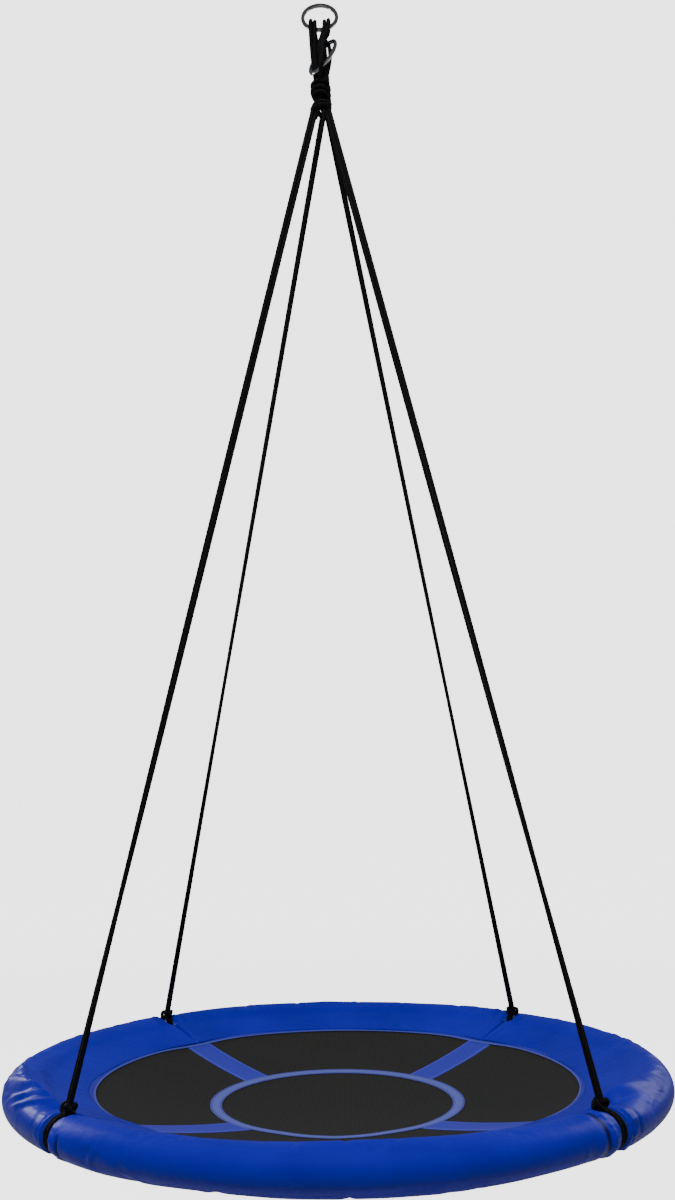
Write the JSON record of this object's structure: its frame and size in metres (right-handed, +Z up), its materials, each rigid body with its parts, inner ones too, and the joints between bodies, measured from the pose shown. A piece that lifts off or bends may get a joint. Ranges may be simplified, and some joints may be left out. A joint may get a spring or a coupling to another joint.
{
  "type": "saucer nest swing",
  "caption": "Round nest swing: padded rim with a mesh seat, hung on doubled ropes knotted to a steel ring.",
  "frame": {"origin": "where a hook bears, inside the top of the upper steel ring", "axes": "+Z up, -Y front, X to the right; the swing hangs level round a vertical axis 13.7 mm in front of the origin"},
  "size_m": [1, 1, 1.8108],
  "materials": {
    "steel": "polished welded ring",
    "rope": "braided polyester rope",
    "galvanised": "galvanised",
    "foam": "soft foam",
    "cover": "woven polyester",
    "mesh": "coated mesh",
    "tape": "woven tape"
  },
  "bodies": {
    "upper_ring": {"upper_ring": "steel"},
    "rope_bundle": {"head_loop_front_left": "rope", "head_loop_front_right": "rope", "head_loop_rear_right": "rope", "head_loop_rear_left": "rope", "ring_bight": "rope"},
    "lower_ring": {"lower_ring": "steel"},
    "head_knot": {"head_knot": "rope"},
    "saucer": {"hanger_knot": "rope", "hanger_front_left_a": "rope", "hanger_front_left_b": "rope", "hanger_front_right_a": "rope", "hanger_front_right_b": "rope", "hanger_rear_right_a": "rope", "hanger_rear_right_b": "rope", "hanger_rear_left_a": "rope", "hanger_rear_left_b": "rope", "rim_hitch_front_left": "rope", "rim_hitch_front_right": "rope", "rim_hitch_rear_right": "rope", "rim_hitch_rear_left": "rope", "rim_knot_front_left": "rope", "rim_knot_front_right": "rope", "rim_knot_rear_right": "rope", "rim_knot_rear_left": "rope", "rim_tube_front_left": "galvanised", "rim_tube_front_right": "galvanised", "rim_tube_rear_right": "galvanised", "rim_tube_rear_left": "galvanised", "frame_screws": "galvanised", "foam_front": "foam", "foam_right": "foam", "foam_rear": "foam", "foam_left": "foam", "cover_front": "cover", "cover_right": "cover", "cover_rear": "cover", "cover_left": "cover", "mesh_seat": "mesh", "seat_binding": "cover", "tape_hoop": "tape", "tape_spoke_front_left": "tape", "tape_spoke_front_right": "tape", "tape_spoke_rear_right": "tape", "tape_spoke_rear_left": "tape"}
  },
  "joints": [
    {"name": "fore_aft_swing", "type": "hinge", "parent": "upper_ring", "child": "rope_bundle", "pos_m": [0, -0.01307, -0.04869], "axis": [1, 0, 0], "range_deg": [-40, 40]},
    {"name": "lower_ring_turn", "type": "hinge", "parent": "rope_bundle", "child": "lower_ring", "pos_m": [0.00424, -0.01796, -0.10169], "axis": [0.6645, 0.6645, -0.342], "continuous": true},
    {"name": "side_sway", "type": "hinge", "parent": "rope_bundle", "child": "head_knot", "pos_m": [0, -0.01372, -0.15219], "axis": [0, 1, 0], "range_deg": [-20, 20]},
    {"name": "spin", "type": "hinge", "parent": "head_knot", "child": "saucer", "pos_m": [0, -0.01372, -0.15219], "axis": [0, 0, 1], "range_deg": [-180, 180]}
  ]
}
